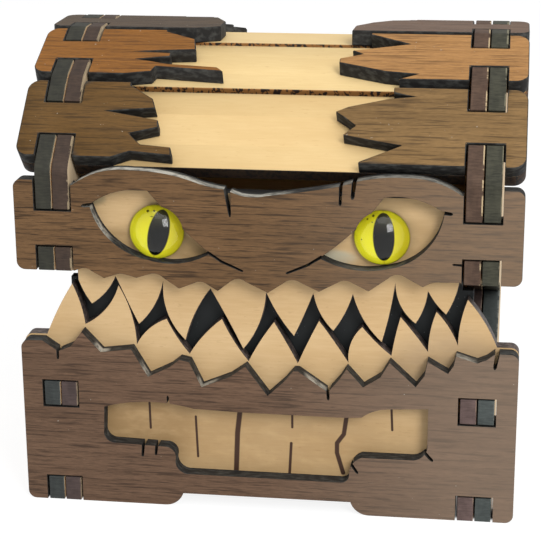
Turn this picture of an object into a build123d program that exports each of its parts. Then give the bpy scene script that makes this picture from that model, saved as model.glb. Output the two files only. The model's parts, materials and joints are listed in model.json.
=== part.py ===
from build123d import *
import math
import os

# Dice storage chest: a small hinged box cut from flat wooden sheet, with a toothed mouth.
# Millimetres, +Z up, the mouth faces -Y, the feet stand on Z = 0 and the box is centred
# on the origin. Every sheet is cut flat and locked to its neighbours by tabs and slots.

os.makedirs("parts", exist_ok=True)

# ---------------------------------------------------------------- driving sizes
SHEET = 3.0                 # thickness of every wooden sheet
WIDTH = 94.0                # front and back sheets, end to end
BASE_H = 32.2               # top edge of the base's side walls
SPLIT_GAP = 0.3             # daylight between the closed lid and the base
MOUTH_H = 14.75             # opening between the jaws, at their ends
JAW_H = 17.45               # upper jaw sheet, at its ends
SEAT_GAP = 0.3              # fitting gap between pieces that only lie close
BACK_DROP = 0.6             # top of the lid's back, below the top of the jaw sheet
CORNER_R = 1.6              # rounded outer corners of the sheets
SHOULDERS = (0.65, 1.65)    # front sheet beside the mouth, left and right, above the base walls
TEETH_OVER = 0.3            # the sheet behind it stands this much higher there

TAB_INSET = 3.8             # from a sheet's end to the slot for the wall tabs
PLY_GAP = 0.3               # between the two plies of a side wall
TAB_SIDE_GAP = 0.4          # beside the pair of tabs, in its slot
TAB_END_GAP = 0.35          # above and below a tab, in its slot
FOOT_TAB_H = 5.1            # tab that reaches the floor line
WALL_TAB_Z = 19.4           # lower edge of the slot half way up the base
WALL_TAB_H = 5.55           # height of that slot
JAW_TAB_H = 4.85            # notch in the upper jaw's lower edge
JAW_BRIDGE_H = 6.65         # sheet left between the upper jaw's two notches

FLOOR_Z = 5.2               # underside of the floor board
FLOOR_TAB_W = 12.0          # tabs of the floor board through both plies
FLOOR_TAB_Y = 18.0          # their distance from the middle, front and back
FOOT_LIFT = 2.6             # bottom edge between the feet
FOOT_IN = 19.8              # where a foot starts to curve up

FACET_RISE = 4.15           # lowest lid facet, above the top of the jaw sheet
FACET_SETBACK = 2.0         # and behind the front face
FACET_SLOPES = (42.5, 23.2)     # lid facets from the jaw to the level crown, in degrees
FACET_WIDTHS = (17.2, 15.4)     # and their widths
CROWN_W = 14.1                  # width of the level crown
FACET_GAPS = (2.2, 1.3)         # open joint above each of them
BOARD_FIT = 0.1                 # least gap between two boards that meet at an angle
NOTCH_DEPTHS = ((5.1, 5.1), (4.8, 4.5), (4.2, 4.2))   # low and high notch of each facet
ENVELOPE_R = 3.0            # rounding of the wall's outline where two facets meet

GAPE_END = 42.0             # depth of the open mouth corner, from the front
GAPE_SAG = 1.2              # how far its edge bows upwards

BACKING_T = 2.0             # black sheet behind the teeth
BACKING_DROP = 4.5          # how far it hangs below the base's top edge
BACKING_RISE = 2.0          # how far it laps the upper jaw's lower edge
EAR_REACH = 2.1             # its ears, out into the open mouth corners
EAR_LIFT = 0.6              # their lower edge, above the base walls
EAR_DROP = 3.0              # their upper edge, below the upper jaw

SPLIT_TAPER = 0.8           # width of a split near its end, as part of its width
SPLIT_TIP = 0.4             # and at its end
CREST_ROUND = 0.3           # part of each flank of a gum crest taken by its rounding
CREST_SINK = 0.4            # how far that rounding cuts the crest down, towards its chord

EYE_D = 10.0                # glass cabochon
EYE_H = 3.4                 # its height at the middle
EYE_RIM = 0.5               # straight rim at its foot
EYE_RINGS = 4               # cone bands that make up its dome
IRIS_T = 0.4                # coloured disc under the glass
EYE_FIT = 0.15              # radial gap between the glass and the wood round it
EYES = ((-20.2, 7.95), (21.7, 8.25))      # their middles: x, and height above the jaw's edge

HINGE_L = 16.0              # small brass butt hinge, along its pin
HINGE_LEAF = 7.0            # leaf, from the pin's axis to its edge
HINGE_T = 0.6               # leaf thickness
HINGE_INSET = 21.0          # hinge's middle, from the end of the front and back sheets
PIN_R = 0.6                 # hinge pin
PIN_FIT = 0.05              # radial running gap of the pin
KNUCKLE_WALL = 0.6          # brass round the pin
KNUCKLES = 3
KNUCKLE_GAP = 0.2           # end gap between knuckles
HINGE_STANDOFF = 0.15       # from the back sheet to the knuckles

SCREW_R = 0.5               # brass wood screw, shank
SCREW_L = 3.0               # under its head
SCREW_HEAD_R = 1.15
SCREW_HEAD_T = 0.45
SCREW_SPACING = 9.6         # two screws in each leaf
SCREW_FIT = 0.05
SCREW_SIDES = 12            # screws and their holes are cut as prisms

# ---------------------------------------------------------------- sizes that follow
TWO = 2 * SHEET                                 # a walnut sheet and the maple behind it
HALF = WIDTH / 2
HINGE_X = HALF - HINGE_INSET
KNUCKLE_R = PIN_R + PIN_FIT + KNUCKLE_WALL
HINGE_REACH = HINGE_STANDOFF + 2 * KNUCKLE_R    # hinge beyond the back face
EYE_PROUD = IRIS_T + EYE_H - SHEET              # glass beyond the front face

FACET_JOINTS = [(low + high) / 2 for low, high in zip(FACET_SLOPES, FACET_SLOPES[1:] + (0.0,))]
FACET_RUNS = [width * math.cos(math.radians(slope)) + gap * math.cos(math.radians(joint))
              for width, slope, gap, joint in zip(FACET_WIDTHS, FACET_SLOPES, FACET_GAPS, FACET_JOINTS)]
DEPTH = 2 * (FACET_SETBACK + sum(FACET_RUNS)) + CROWN_W      # front face to back face
FRONT = (EYE_PROUD - DEPTH - HINGE_REACH) / 2
BACK = FRONT + DEPTH
MID = (FRONT + BACK) / 2

SLOT_OUT = HALF - TAB_INSET
SLOT_W = 2 * SHEET + PLY_GAP + 2 * TAB_SIDE_GAP
SLOT_IN = SLOT_OUT - SLOT_W
OUTER_X = SLOT_OUT - TAB_SIDE_GAP - SHEET       # inner face of the outer ply
INNER_X = SLOT_IN + TAB_SIDE_GAP                # inner face of the inner ply
WALLS_X = OUTER_X + SHEET                       # outer face of the outer ply

JAW_Z = BASE_H + MOUTH_H                        # lower end of the upper jaw sheet
JAW_TOP = JAW_Z + JAW_H
BRIDGE_Z = JAW_Z + JAW_TAB_H
BRIDGE_TOP = BRIDGE_Z + JAW_BRIDGE_H
LID_Z = BASE_H + SPLIT_GAP                      # lower edge of the lid's walls
BACK_TAB_Z = LID_Z + JAW_TAB_H                  # notch in the lid back's lower edge

HINGE_Y = BACK + HINGE_STANDOFF + KNUCKLE_R
HINGE_Z = BASE_H + SPLIT_GAP / 2

# The outlines below were drawn for a sheet this wide and a mouth this high. Spread and
# bite let them follow another width and another opening.
DRAWN_FOR = (94.0, 14.9)
SPREAD = WIDTH / DRAWN_FOR[0]
BITE = MOUTH_H / DRAWN_FOR[1]


# ---------------------------------------------------------------- flat drawing
class Outline:
    """A closed outline drawn edge by edge, in a frame that is moved and stretched."""

    def __init__(self, start, rise=0.0, tall=1.0, wide=SPREAD):
        self.rise, self.tall, self.wide = rise, tall, wide
        self.start = self.here = self.place(start)
        self.edges = []

    def place(self, point):
        return (point[0] * self.wide, self.rise + point[1] * self.tall)

    def line(self, *points):
        for point in points:
            end = self.place(point)
            if math.dist(end, self.here) > 1e-6:
                self.edges.append(Line(self.here, end))
            self.here = end
        return self

    def arc(self, through, end):
        through, end = self.place(through), self.place(end)
        self.edges.append(ThreePointArc(self.here, through, end))
        self.here = end
        return self

    def crest(self, peak, end):
        """Straight up to a rounded peak, and straight down to the end."""
        peak, end = self.place(peak), self.place(end)
        near, far = between(peak, self.here, CREST_ROUND), between(peak, end, CREST_ROUND)
        top = between(peak, between(near, far, 0.5), CREST_SINK)
        self.edges += [Line(self.here, near), ThreePointArc(near, top, far), Line(far, end)]
        self.here = end

    def face(self):
        if self.here != self.start:
            self.edges.append(Line(self.here, self.start))
        return make_face(self.edges)


def between(here, there, part):
    """The point this part of the way from here to there."""
    return (here[0] + part * (there[0] - here[0]), here[1] + part * (there[1] - here[1]))


def block(x0, x1, z0, z1):
    """A rectangle from corner to corner."""
    return Pos((x0 + x1) / 2, (z0 + z1) / 2) * Rectangle(x1 - x0, z1 - z0)


def on_both_sides(face):
    """A cut-out and its mirror image on the other end of the sheet."""
    return face + mirror(face, Plane.YZ)


def nick(x, z, x_tip, z_tip, wide, taper=SPLIT_TAPER):
    """A narrow cut with a blunt end, as a split in the wood, from an edge to its tip."""
    long = math.dist((x, z), (x_tip, z_tip))
    turn = math.degrees(math.atan2(z_tip - z, x_tip - x))
    half = wide / 2
    side = [(-wide, half), (long - half, half * taper), (long, half * taper * SPLIT_TIP)]
    shape = Polygon(*[(a, -b) for a, b in side], *reversed(side), align=None)
    return Pos(x, z) * (Rot(0, 0, turn) * shape)


# ---------------------------------------------------------------- flat to solid
def upright(face, near_y, thick=SHEET):
    """A sheet across the box, its front face at near_y."""
    return Pos(0, near_y + thick, 0) * extrude(Plane.XZ * face, thick, dir=(0, -1, 0))


def wall(face, left_x, thick=SHEET):
    """A sheet along the box, drawn in (y, z), its left face at left_x."""
    return Pos(left_x, 0, 0) * extrude(Plane.YZ * face, thick, dir=(1, 0, 0))


def mirror_side(solid):
    return mirror(solid, Plane.YZ)


def to_back(solid):
    """The same piece on the back half of the box."""
    return mirror(solid, Plane.XZ.offset(-MID))


# ---------------------------------------------------------------- the lid's facets
class Facet:
    """One flat of the lid: its lower front edge, slope and width, seen from the side."""

    def __init__(self, y, z, slope, width, notches):
        self.y, self.z, self.slope, self.width = y, z, slope, width
        self.low, self.high = notches
        self.trim_low = self.trim_high = 0.0
        self.cos, self.sin = math.cos(math.radians(slope)), math.sin(math.radians(slope))

    def at(self, along, deep=0.0):
        """The point this far up the facet and this deep under its face, as (y, z)."""
        return (self.y + along * self.cos + deep * self.sin,
                self.z + along * self.sin - deep * self.cos)

    def plane(self, deep=0.0):
        y, z = self.at(0, deep)
        return Plane(origin=(0, y, z), x_dir=(1, 0, 0), z_dir=(0, -self.sin, self.cos))

    def meets(self, other):
        """Where the faces of two facets would cross, as (y, z)."""
        cross = self.cos * other.sin - self.sin * other.cos
        run = ((other.y - self.y) * other.sin - (other.z - self.z) * other.cos) / cross
        return self.at(run)

    def recess(self):
        """What the walls lose so that both boards pass between two tabs."""
        low, high = self.low - TAB_END_GAP, self.width - self.high + TAB_END_GAP
        corners = [self.at(low, -SHEET), self.at(high, -SHEET), self.at(high, TWO),
                   self.at(low, TWO)]
        return Polygon(*corners, align=None)

    def board(self, face, layer):
        """A board of this facet, drawn in (x, along), in its outer or inner layer."""
        plane = self.plane(layer * SHEET)
        return extrude(plane * face, SHEET, dir=-plane.z_dir)

    def tab_notches(self):
        """Cut-outs for the wall tabs, in (x, along)."""
        below = block(SLOT_IN, SLOT_OUT, -SHEET, self.low)
        above = block(SLOT_IN, SLOT_OUT, self.width - self.high, self.width + SHEET)
        return on_both_sides(below + above)


def lid_facets():
    """The two front facets and the level crown, each set above the one before."""
    facets = []
    y, z = FRONT + FACET_SETBACK, JAW_TOP + FACET_RISE
    rows = zip(FACET_SLOPES, FACET_WIDTHS, FACET_GAPS, FACET_JOINTS, NOTCH_DEPTHS)
    for slope, width, gap, joint, notches in rows:
        facet = Facet(y, z, slope, width, notches)
        facets.append(facet)
        half_turn = math.radians(slope - joint)
        facet.trim_high = max(0.0, TWO * math.tan(half_turn) - gap / 2 + BOARD_FIT)
        y, z = facet.at(width)
        y += gap * math.cos(math.radians(joint))
        z += gap * math.sin(math.radians(joint))
    facets.append(Facet(y, z, 0.0, CROWN_W, NOTCH_DEPTHS[-1]))
    for lower, upper in zip(facets, facets[1:]):
        upper.trim_low = lower.trim_high
    facets[-1].trim_high = facets[-1].trim_low
    return facets


FACETS = lid_facets()


# ---------------------------------------------------------------- teeth and gums
# Each tooth: the foot before it, a point on its first flank, its tip, one on its second
# flank. Heights are measured from the top of the base's walls.
LOWER_TEETH = (
    ((-42.6, 0.95), (-40.4, 5.9), (-37.3, 11.4), (-35.7, 7.0)),
    ((-35.0, 3.3), (-31.2, 6.2), (-28.3, 11.4), (-26.0, 5.8)),
    ((-25.1, -0.4), (-22.7, 2.8), (-19.2, 5.0), (-17.4, 1.6)),
    ((-14.9, -1.9), (-11.5, 2.7), (-8.6, 5.4), (-6.2, 0.8)),
    ((-3.6, -2.9), (-1.2, 1.5), (1.3, 5.2), (3.9, 0.7)),
    ((5.8, -2.9), (7.6, 1.2), (9.8, 5.8), (12.6, 1.9)),
    ((15.4, -2.4), (15.9, 1.9), (17.9, 4.9), (20.6, 1.9)),
    ((23.4, -0.6), (24.0, 2.9), (25.0, 7.2), (28.0, 3.5)),
    ((30.2, 0.5), (30.5, 4.3), (31.6, 8.5), (34.4, 4.8)),
    ((35.7, 2.0), (36.1, 6.6), (37.3, 11.1), (40.2, 7.3)),
)
LOWER_TEETH_END = (42.9, 1.95)
UPPER_TEETH = (
    ((-36.7, 14.9), (-35.8, 11.4), (-33.6, 7.4), (-31.0, 9.6)),
    ((-28.8, 13.0), (-27.2, 9.3), (-24.6, 3.6), (-21.6, 7.3)),
    ((-19.8, 11.8), (-19.0, 6.0), (-15.6, 0.7), (-12.6, 8.4)),
    ((-10.7, 11.3), (-8.0, 6.3), (-4.6, -0.6), (-1.1, 5.7)),
    ((-0.1, 10.8), (1.9, 6.9), (5.1, 2.4), (7.5, 7.9)),
    ((8.7, 11.0), (10.2, 6.8), (12.5, 3.8), (15.0, 8.1)),
    ((16.1, 11.1), (18.2, 6.1), (21.6, 1.9), (23.0, 7.7)),
    ((23.9, 13.1), (25.0, 9.2), (27.8, 5.9), (29.4, 9.3)),
    ((30.0, 12.3), (31.6, 9.8), (33.4, 7.9), (34.7, 10.6)),
)
UPPER_TEETH_END = (35.8, 14.9)

# The lower gum line: a peak, then the low point of the socket after it.
LOWER_GUM = (
    ((-42.8, 0.65), (-39.8, -1.4)), ((-35.1, 2.7), (-31.5, -1.2)), ((-25.6, -0.4), (-22.5, -5.8)),
    ((-14.5, -2.5), (-12.2, -7.4)), ((-3.8, -2.9), (0.4, -8.6)), ((6.2, -3.4), (11.8, -7.3)),
    ((15.3, -2.5), (18.4, -6.0)), ((23.3, -0.9), (28.2, -5.5)), ((30.3, -0.4), (34.1, -2.6)),
    ((35.5, 0.9), (39.4, -0.3)),
)
LOWER_GUM_END = (42.6, 1.65)
# Extra points between a low point and the next peak, where the socket is flat or bowed.
LOWER_GUM_RISE = {
    0: [(-37.3, -0.3)], 1: [], 2: [(-18.2, -3.6), (-16.4, -2.1)], 3: [(-6.8, -5.1)],
    4: [(3.6, -5.5), (5.3, -3.4)], 5: [(14.0, -4.6)], 6: [(21.6, -3.9)], 7: [(29.8, -3.2)],
    8: [(35.1, -1.0)], 9: [(41.2, 0.5)],
}
# The upper gum line: each crest and the cusp after it. Heights from JAW_Z.
UPPER_GUM = (
    ((-33.9, 0.8), (-30.3, -1.2)), ((-27.2, -0.1), (-24.1, -0.9)), ((-20.5, 0.3), (-16.1, -2.7)),
    ((-11.9, -1.0), (-8.8, -2.9)), ((-5.3, -0.1), (0.6, -2.9)), ((5.0, 0.1), (10.1, -2.3)),
    ((14.9, 0.3), (19.2, -1.9)), ((24.4, 1.9), (29.1, -0.7)), ((30.9, 0.3), (35.9, 0.4)),
)
BROW = (
    ((-35.9, -0.9), (-31.2, 1.6), (-24.6, 2.3)), ((-24.6, 2.3), (-17.6, 1.7), (-11.9, 0.1)),
    ((-11.9, 0.1), (-9.5, -0.5), (-6.8, -0.9)), ((-6.8, -0.9), (-3.6, -2.0), (0.4, -1.8)),
    ((0.4, -1.8), (6.8, -0.9), (14.0, 0.4)), ((14.0, 0.4), (20.0, 2.0), (25.4, 2.3)),
    ((25.4, 2.3), (31.4, 1.5), (35.9, -0.8)),
)
EYE_OUTLINES = (
    # outer corner, lid, inner corner, underside, for the left and the right eye
    ((-32.6, 12.9), (-27.6, 15.5), (-21.6, 15.9), (-16.9, 10.6), (-10.2, 4.3),
     (-15.6, 2.3), (-21.8, 2.7), (-29.0, 6.4)),
    ((32.7, 13.4), (27.8, 15.7), (21.8, 15.9), (17.9, 11.0), (10.2, 4.2),
     (15.6, 2.3), (22.4, 2.5), (29.6, 6.4)),
)


def foot_edge(outline, half):
    """The bottom edge from left to right: foot, raised middle, foot."""
    outline.line((-FOOT_IN, 0))
    outline.arc((-FOOT_IN + 2.4, FOOT_LIFT * 0.32), (-FOOT_IN + 3.6, FOOT_LIFT))
    outline.line((FOOT_IN - 3.6, FOOT_LIFT))
    outline.arc((FOOT_IN - 2.4, FOOT_LIFT * 0.32), (FOOT_IN, 0))
    outline.line((half, 0))


def lower_gum(outline):
    """From the right shoulder to the left one, socket by socket."""
    peaks = list(LOWER_GUM)
    outline.line(LOWER_GUM_END)
    for index in reversed(range(len(peaks))):
        peak, low = peaks[index]
        for point in reversed(LOWER_GUM_RISE[index]):
            outline.line(point)
        outline.line(low, peak)


def rounded(face, corners):
    """The face with its outer corners rounded, found by where they are."""
    picked = [v for v in face.vertices()
              if any(math.hypot(v.X - x, v.Y - z) < 0.01 for x, z in corners)]
    return fillet(picked, CORNER_R)


def base_slots():
    """Foot notches and the closed slots above them, both ends."""
    low = block(SLOT_IN, SLOT_OUT, -SHEET, FOOT_TAB_H)
    high = block(SLOT_IN, SLOT_OUT, WALL_TAB_Z, WALL_TAB_Z + WALL_TAB_H)
    return on_both_sides(low + high)


def lower_jaw_face():
    half = HALF / SPREAD
    left, right = BASE_H + SHOULDERS[0], BASE_H + SHOULDERS[1]
    outline = Outline((-half, 0))
    foot_edge(outline, half)
    outline.line((half, right))
    outline.rise = BASE_H
    lower_gum(outline)
    outline.line((-half, SHOULDERS[0]))
    face = rounded(outline.face(), [(-HALF, 0), (HALF, 0), (-HALF, left), (HALF, right)])
    face -= base_slots() + window_face()
    splits = (nick(-39.9, BASE_H - 1.0, -39.9, BASE_H - 3.0, 0.55)
              + nick(11.8, BASE_H - 7.0, 11.9, BASE_H - 8.9, 0.65)
              + nick(43.0, BASE_H + 1.4, 42.6, BASE_H - 1.4, 0.85))
    return face - splits


def window_face():
    """The long opening under the teeth, with the splits that run from its edge."""
    mid = (BASE_H - FOOT_LIFT) / 2
    outline = Outline((-31.2, 5.1), rise=mid)
    outline.arc((-22.0, 6.5), (-13.9, 5.5))
    outline.line((-5.3, 5.2), (14.9, 5.1), (18.2, 5.3)).arc((20.4, 6.6), (23.0, 7.2))
    outline.line((30.6, 7.6), (30.6, -0.3)).arc((29.6, -2.2), (27.6, -2.9))
    outline.line((18.2, -2.9)).arc((16.5, -4.3), (15.9, -6.4)).arc((15.4, -7.8), (14.0, -8.2))
    outline.line((-14.9, -8.1)).arc((-16.9, -7.3), (-17.5, -5.0)).arc((-18.2, -3.1), (-19.6, -2.6))
    outline.line((-29.4, -2.3)).arc((-31.0, -1.5), (-31.4, 0.2))
    face = outline.face()
    face += nick(-23.8, mid - 2.5, -24.0, mid - 4.9, 0.6) + nick(-21.2, mid - 2.6, -21.4, mid - 4.5, 0.6)
    face += nick(-18.7, mid + 6.2, -18.8, mid + 7.9, 0.5)
    face += nick(30.2, mid - 1.3, 31.7, mid - 2.9, 0.7)
    return face + nick(16.5, mid - 4.6, 17.6, mid - 6.2, 0.6)


def tooth_row(outline, teeth, end):
    """Bowed flanks from foot to tip and from tip to the next foot."""
    feet = [tooth[0] for tooth in teeth[1:]] + [end]
    for (foot, rising, tip, falling), following in zip(teeth, feet):
        outline.arc(rising, tip).arc(falling, following)


def lower_teeth_face():
    half = HALF / SPREAD
    left, right = [BASE_H + shoulder + TEETH_OVER for shoulder in SHOULDERS]
    outline = Outline((half, 0))
    outline.line((half, right), (-half, left), (-half, 0))
    foot_edge(outline, half)
    body = rounded(outline.face(), [(-HALF, 0), (HALF, 0), (-HALF, left), (HALF, right)])
    sunk = BASE_H - FOOT_LIFT - SHEET
    gums = Outline((LOWER_TEETH[0][0][0], -sunk), rise=BASE_H, tall=BITE)
    gums.line(LOWER_TEETH[0][0])
    tooth_row(gums, LOWER_TEETH, LOWER_TEETH_END)
    gums.line((LOWER_TEETH_END[0], -sunk))
    row = gums.face()
    ends = block(-HALF, LOWER_TEETH[0][0][0] * SPREAD, -SHEET, right)
    ends += block(LOWER_TEETH_END[0] * SPREAD, HALF, -SHEET, right)
    low = block(-HALF, HALF, -SHEET, BASE_H - sunk * BITE + SHEET)
    return (body & (ends + low)) + row - base_slots()


def jaw_notches():
    """Open notches in the upper jaw's lower and upper edges."""
    low = block(SLOT_IN, SLOT_OUT, JAW_Z - SHEET, BRIDGE_Z)
    high = block(SLOT_IN, SLOT_OUT, BRIDGE_TOP, JAW_TOP + 2 * SHEET)
    return on_both_sides(low + high)


def eye_openings():
    """Two almond openings, each with a tick at its outer and a crease at its inner end."""
    shapes = []
    for side, points in zip((-1, 1), EYE_OUTLINES):
        outer, lid_a, lid_b, inner_a, inner, under_a, under_b, outer_a = points
        eye = Outline(outer, rise=JAW_Z)
        eye.arc(lid_a, lid_b).arc(inner_a, inner).arc(under_a, under_b).arc(outer_a, outer)
        shapes.append(eye.face())
        x, z = outer[0] * SPREAD, JAW_Z + outer[1]
        shapes.append(nick(x, z, x + side * 1.5, z - 0.2, 0.7))
        x, z = inner[0] * SPREAD, JAW_Z + inner[1]
        shapes.append(nick(x, z, x - side * 2.6, z - 1.7, 0.5))
        shapes.append(nick(x - side * 2.3, z - 1.5, x - side * 6.2, z - 3.2, 0.45))
    return shapes[0] + shapes[1:]


def upper_jaw_face():
    half = HALF / SPREAD
    outline = Outline((-half, 0), rise=JAW_Z)
    outline.line((-36.1, 0))
    for peak, cusp in UPPER_GUM:
        outline.crest(peak, cusp)
    outline.line((36.1, 0), (half, 0), (half, JAW_H + 0.4), (36.6, JAW_H + 0.4))
    outline.rise = JAW_TOP
    for start, through, end in reversed(BROW):
        outline.line(end).arc(through, start)
    outline.line((-36.6, 0), (-half, 0))
    corners = [(-HALF, JAW_Z), (HALF, JAW_Z), (HALF, JAW_TOP + 0.4), (-HALF, JAW_TOP)]
    face = rounded(outline.face(), corners)
    splits = (nick(-6.8, JAW_TOP - 1.0, -6.3, JAW_TOP - 6.0, 1.3, taper=0.35)
              + nick(14.0, JAW_TOP + 0.2, 13.9, JAW_TOP - 3.2, 0.6)
              + nick(16.4, JAW_TOP + 0.8, 16.1, JAW_TOP - 2.0, 0.8)
              + nick(SLOT_IN, JAW_Z + 3.7, SLOT_IN - 1.7, JAW_Z + 3.8, 0.4))
    seats = [Pos(x, z) * Circle(EYE_D / 2 + EYE_FIT) for x, z in eye_centres()]
    return face - jaw_notches() - eye_openings() - seats - splits


def upper_teeth_face():
    half = HALF / SPREAD
    top = JAW_H - 2.2
    outline = Outline((-half, 0), rise=JAW_Z)
    outline.line((-37.4, 0), (-37.4, 1.0))
    outline.rise, outline.tall = BASE_H, BITE
    outline.line(UPPER_TEETH[0][0])
    tooth_row(outline, UPPER_TEETH, UPPER_TEETH_END)
    outline.rise, outline.tall = JAW_Z, 1.0
    outline.line((36.5, 1.0), (36.5, 0), (half, 0), (half, top), (-half, top))
    corners = [(-HALF, JAW_Z), (HALF, JAW_Z), (HALF, JAW_Z + top), (-HALF, JAW_Z + top)]
    return rounded(outline.face(), corners) - jaw_notches()


# ---------------------------------------------------------------- side walls
def both_ends(face):
    """The cut-out at the front and the same one at the back, in (y, z)."""
    flipped = Pos(2 * MID, 0) * mirror(face, Plane.YZ)
    return face + flipped


def base_wall_face():
    plate = block(FRONT, BACK, 0, BASE_H)
    low = block(FRONT - 1, FRONT + TWO, FOOT_TAB_H - TAB_END_GAP, WALL_TAB_Z + TAB_END_GAP)
    high = block(FRONT - 1, FRONT + TWO, WALL_TAB_Z + WALL_TAB_H - TAB_END_GAP, BASE_H + 1)
    slots = [block(MID + side * FLOOR_TAB_Y - FLOOR_TAB_W / 2, MID + side * FLOOR_TAB_Y + FLOOR_TAB_W / 2,
                   FLOOR_Z, FLOOR_Z + SHEET) for side in (-1, 1)]
    return plate - both_ends(low + high) - (slots[0] + slots[1])


def lid_wall_face():
    """Outer corners where the facets' faces cross, less a seat for each pair of boards."""
    front, shoulder, crown = FACETS
    upright_face = Facet(FRONT, JAW_Z, 90.0, JAW_H, (0, 0))
    corners = [upright_face.meets(front), front.meets(shoulder), shoulder.meets(crown)]
    back_corners = [(2 * MID - y, z) for y, z in reversed(corners)]
    gape = FRONT + GAPE_END
    outline = Outline((FRONT, JAW_Z), wide=1.0)
    outline.line(*corners, *back_corners, (BACK, LID_Z), (gape, LID_Z))
    bow = ((FRONT + gape) / 2, (JAW_Z + LID_Z) / 2 + GAPE_SAG)
    outline.arc(bow, (FRONT, JAW_Z))
    face = outline.face()
    rounds = [v for v in face.vertices()
              if any(math.hypot(v.X - y, v.Y - z) < 0.01 for y, z in corners + back_corners)]
    face = fillet(rounds, ENVELOPE_R)
    gap = TAB_END_GAP
    front_seat = block(FRONT - 1, FRONT + TWO, BRIDGE_Z - gap, BRIDGE_TOP + gap)
    back_seat = block(BACK - TWO, BACK + 1, BACK_TAB_Z - gap, BRIDGE_TOP + gap)
    face -= front_seat + back_seat
    for facet in FACETS:
        face -= facet.recess()
        if facet is not crown:
            face -= Pos(2 * MID, 0) * mirror(facet.recess(), Plane.YZ)
    return face


# ---------------------------------------------------------------- lid boards
# Broken ends of the walnut boards, from the lower edge to the upper one, in (x, along)
# with x counted from the middle. The first half is the left end, the second the right.
BREAKS = {
    "a_left": [(-28.8, 0.0), (-25.4, 1.4), (-17.6, 0.7), (-17.9, 2.6), (-23.7, 3.1), (-26.0, 5.4),
               (-20.8, 6.9), (-21.0, 8.6), (-30.6, 10.4), (-21.8, 11.2), (-22.6, 13.4), (-27.2, 16.4)],
    "a_right": [(16.9, 0.0), (16.9, 0.5), (24.6, 4.3), (13.6, 6.3), (15.9, 8.4), (13.6, 10.2),
                (11.9, 11.4), (14.2, 12.6), (21.6, 14.6), (26.4, 15.2), (22.4, 15.9)],
    "b_left": [(-29.0, 0.0), (-24.0, 0.9), (-23.4, 2.6), (-10.2, 1.4), (-11.6, 2.8), (-21.2, 3.6),
               (-27.2, 5.0), (-21.2, 6.1), (-21.2, 7.3), (-28.2, 7.7), (-16.6, 8.6), (-17.3, 12.3),
               (-23.2, 14.8)],
    "b_right": [(23.0, 0.0), (26.4, 1.7), (20.4, 2.4), (11.5, 5.1), (11.5, 6.6), (15.6, 8.1),
                (13.6, 9.3), (24.3, 11.8), (16.8, 14.9)],
    "c_left": [(-17.8, 0.0), (-13.3, 2.2), (-13.3, 8.4), (-15.6, 13.2), (-22.3, 13.4)],
    "c_right": [(12.9, 0.0), (13.1, 5.6), (16.2, 10.0), (19.8, 12.8), (24.6, 13.6)],
}
BACK_BREAKS = {"d_left": "b_right", "d_right": "b_left", "e_left": "a_right", "e_right": "a_left"}
BOARD_END_R = 2.4           # rounded outer corners of the lid's boards


def slat_face(facet):
    """A maple board from end to end, narrower so that its under edges don't foul the next."""
    face = block(-HALF, HALF, facet.trim_low, facet.width - facet.trim_high)
    face = fillet(face.vertices(), BOARD_END_R)
    return face - facet.tab_notches()


def plank_face(facet, points):
    """A walnut board from one end of the lid to its broken end."""
    side = math.copysign(1, points[0][0])
    end = side * HALF
    broken = [(x * SPREAD, along) for x, along in points]
    outline = [(end, 0)] + broken + [(broken[-1][0], facet.width), (end, facet.width)]
    face = Polygon(*outline, align=None)
    outer = [v for v in face.vertices() if abs(v.X - end) < 0.01]
    return fillet(outer, BOARD_END_R) - facet.tab_notches()


def swap_side(points):
    return [(-x, along) for x, along in points]


# ---------------------------------------------------------------- eyes
def eye_centres():
    for x, rise in EYES:
        yield x * SPREAD, JAW_Z + rise


def iris_disc(x, z):
    return upright(Pos(x, z) * Circle(EYE_D / 2), FRONT + SHEET - IRIS_T, IRIS_T)


def eye_dome(x, z):
    """A straight rim under a shallow dome, flat behind: a glass cabochon."""
    r, rise = EYE_D / 2, EYE_H - EYE_RIM
    swell = (rise ** 2 + r ** 2) / (2 * rise)
    steepest = math.asin(r / swell)
    dome = Pos(0, 0, EYE_RIM / 2) * Cylinder(r, EYE_RIM)
    for ring in range(EYE_RINGS):
        low = steepest * (1 - ring / EYE_RINGS)
        high = steepest * (1 - (ring + 1) / EYE_RINGS)
        foot, top = swell * math.cos(low), swell * math.cos(high)
        band = Cone(swell * math.sin(low), swell * math.sin(high), top - foot)
        dome += Pos(0, 0, EYE_H - swell + (foot + top) / 2) * band
    return Pos(x, FRONT + SHEET - IRIS_T, z) * (Rot(90, 0, 0) * dome)


# ---------------------------------------------------------------- hinges
def knuckle_spans():
    """Start and length of each knuckle along the pin, from the hinge's left end."""
    pitch = HINGE_L / KNUCKLES
    for index in range(KNUCKLES):
        yield index, index * pitch + KNUCKLE_GAP / 2, pitch - KNUCKLE_GAP


def hinge_leaf(middle, upward):
    """A leaf flat on the back sheet, rolled round the pin at its own knuckles."""
    side = 1 if upward else -1
    left = middle - HINGE_L / 2
    clear = KNUCKLE_R + KNUCKLE_GAP
    near, far = HINGE_Z + side * clear, HINGE_Z + side * HINGE_LEAF
    leaf = Pos(middle, BACK + HINGE_T / 2, (near + far) / 2) * Box(HINGE_L, HINGE_T, abs(far - near))
    for index, start, length in knuckle_spans():
        if (index % 2 == 1) == upward:
            centre = left + start + length / 2
            barrel = Pos(centre, HINGE_Y, HINGE_Z) * (Rot(0, 90, 0) * Cylinder(KNUCKLE_R, length))
            web = Pos(centre, BACK + HINGE_T / 2, (HINGE_Z + near) / 2) * Box(length, HINGE_T, clear)
            leaf += barrel + web
    leaf -= Pos(middle, HINGE_Y, HINGE_Z) * (Rot(0, 90, 0) * Cylinder(PIN_R + PIN_FIT, HINGE_L + 1))
    return leaf - [screw_hole(x, z, HINGE_T) for x, z in screw_places(middle, upward)]


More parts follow.
